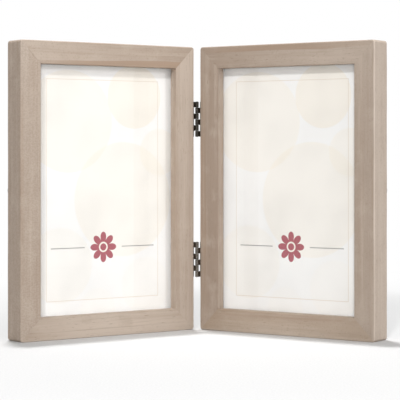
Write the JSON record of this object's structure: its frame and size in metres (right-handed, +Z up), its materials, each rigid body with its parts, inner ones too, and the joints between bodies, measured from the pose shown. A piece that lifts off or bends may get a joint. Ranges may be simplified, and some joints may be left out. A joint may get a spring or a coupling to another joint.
{
  "type": "hinged double picture frame",
  "caption": "Tabletop picture frame: twin mitred wooden frames with glass, joined by small butt hinges to stand open like a book, with turn buttons behind.",
  "frame": {"origin": "on the surface that the frame stands on, under the middle of the open book's box", "axes": "+Z up, +X to the viewer's right, and the pictures face -Y, so the hinge pins lie towards +Y"},
  "size_m": [0.2182, 0.0832, 0.1718],
  "materials": {
    "grey_washed_wood": "grey washed, matt",
    "glass": "clear float glass",
    "insert_paper": "printed matt paper",
    "filler_card": "brown corrugated card",
    "hardboard": "pressed hardboard",
    "velour": "black flocked",
    "zinc_steel": "zinc plated",
    "nail_steel": "bare steel",
    "dark_steel": "dark bronze plated"
  },
  "bodies": {
    "left_frame": {"left_bottom_rail": "grey_washed_wood", "left_outer_stile": "grey_washed_wood", "left_top_rail": "grey_washed_wood", "left_hinge_stile": "grey_washed_wood", "left_bottom_outer_corner_nail": "nail_steel", "left_top_outer_corner_nail": "nail_steel", "left_top_hinge_corner_nail": "nail_steel", "left_bottom_hinge_corner_nail": "nail_steel", "left_glass": "glass", "left_photo_insert": "insert_paper", "left_filler_card": "filler_card", "left_backing_board": "hardboard", "left_velour_sheet": "velour", "left_bottom_button_screw": "zinc_steel", "left_outer_button_screw": "zinc_steel", "left_top_button_screw": "zinc_steel", "left_hinge_button_screw": "zinc_steel", "upper_hinge_left_leaf": "dark_steel", "upper_hinge_left_screw_1": "dark_steel", "upper_hinge_left_screw_2": "dark_steel", "upper_hinge_pin": "dark_steel", "lower_hinge_left_leaf": "dark_steel", "lower_hinge_left_screw_1": "dark_steel", "lower_hinge_left_screw_2": "dark_steel", "lower_hinge_pin": "dark_steel"},
    "right_frame": {"right_bottom_rail": "grey_washed_wood", "right_outer_stile": "grey_washed_wood", "right_top_rail": "grey_washed_wood", "right_hinge_stile": "grey_washed_wood", "right_bottom_outer_corner_nail": "nail_steel", "right_top_outer_corner_nail": "nail_steel", "right_top_hinge_corner_nail": "nail_steel", "right_bottom_hinge_corner_nail": "nail_steel", "right_glass": "glass", "right_photo_insert": "insert_paper", "right_filler_card": "filler_card", "right_backing_board": "hardboard", "right_velour_sheet": "velour", "right_bottom_button_screw": "zinc_steel", "right_outer_button_screw": "zinc_steel", "right_top_button_screw": "zinc_steel", "right_hinge_button_screw": "zinc_steel", "upper_hinge_right_leaf": "dark_steel", "upper_hinge_right_screw_1": "dark_steel", "upper_hinge_right_screw_2": "dark_steel", "lower_hinge_right_leaf": "dark_steel", "lower_hinge_right_screw_1": "dark_steel", "lower_hinge_right_screw_2": "dark_steel"},
    "left_bottom_turn_button": {"left_bottom_turn_button": "zinc_steel"},
    "left_outer_turn_button": {"left_outer_turn_button": "zinc_steel"},
    "left_top_turn_button": {"left_top_turn_button": "zinc_steel"},
    "left_hinge_turn_button": {"left_hinge_turn_button": "zinc_steel"},
    "right_bottom_turn_button": {"right_bottom_turn_button": "zinc_steel"},
    "right_outer_turn_button": {"right_outer_turn_button": "zinc_steel"},
    "right_top_turn_button": {"right_top_turn_button": "zinc_steel"},
    "right_hinge_turn_button": {"right_hinge_turn_button": "zinc_steel"}
  },
  "joints": [
    {"name": "fold", "type": "hinge", "parent": "left_frame", "child": "right_frame", "pos_m": [0, 0.02822, 0.0859], "axis": [0, 0, 1], "range_deg": [-108.6, 76.4]},
    {"name": "left_bottom_button_turn", "type": "hinge", "parent": "left_frame", "child": "left_bottom_turn_button", "pos_m": [-0.05982, 0.0058, 0.00455], "axis": [-0.5835, 0.8121, 0], "range_deg": [-90, 90]},
    {"name": "left_outer_button_turn", "type": "hinge", "parent": "left_frame", "child": "left_outer_turn_button", "pos_m": [-0.10525, -0.02685, 0.0859], "axis": [-0.5835, 0.8121, 0], "range_deg": [-90, 90]},
    {"name": "left_top_button_turn", "type": "hinge", "parent": "left_frame", "child": "left_top_turn_button", "pos_m": [-0.05982, 0.0058, 0.16725], "axis": [-0.5835, 0.8121, 0], "range_deg": [-90, 90]},
    {"name": "left_hinge_button_turn", "type": "hinge", "parent": "left_frame", "child": "left_hinge_turn_button", "pos_m": [-0.01438, 0.03845, 0.0859], "axis": [-0.5835, 0.8121, 0], "range_deg": [-90, 90]},
    {"name": "right_bottom_button_turn", "type": "hinge", "parent": "right_frame", "child": "right_bottom_turn_button", "pos_m": [0.05982, 0.0058, 0.00455], "axis": [0.5835, 0.8121, 0], "range_deg": [-90, 90]},
    {"name": "right_outer_button_turn", "type": "hinge", "parent": "right_frame", "child": "right_outer_turn_button", "pos_m": [0.10525, -0.02685, 0.0859], "axis": [0.5835, 0.8121, 0], "range_deg": [-90, 90]},
    {"name": "right_top_button_turn", "type": "hinge", "parent": "right_frame", "child": "right_top_turn_button", "pos_m": [0.05982, 0.0058, 0.16725], "axis": [0.5835, 0.8121, 0], "range_deg": [-90, 90]},
    {"name": "right_hinge_button_turn", "type": "hinge", "parent": "right_frame", "child": "right_hinge_turn_button", "pos_m": [0.01438, 0.03845, 0.0859], "axis": [0.5835, 0.8121, 0], "range_deg": [-90, 90]}
  ]
}
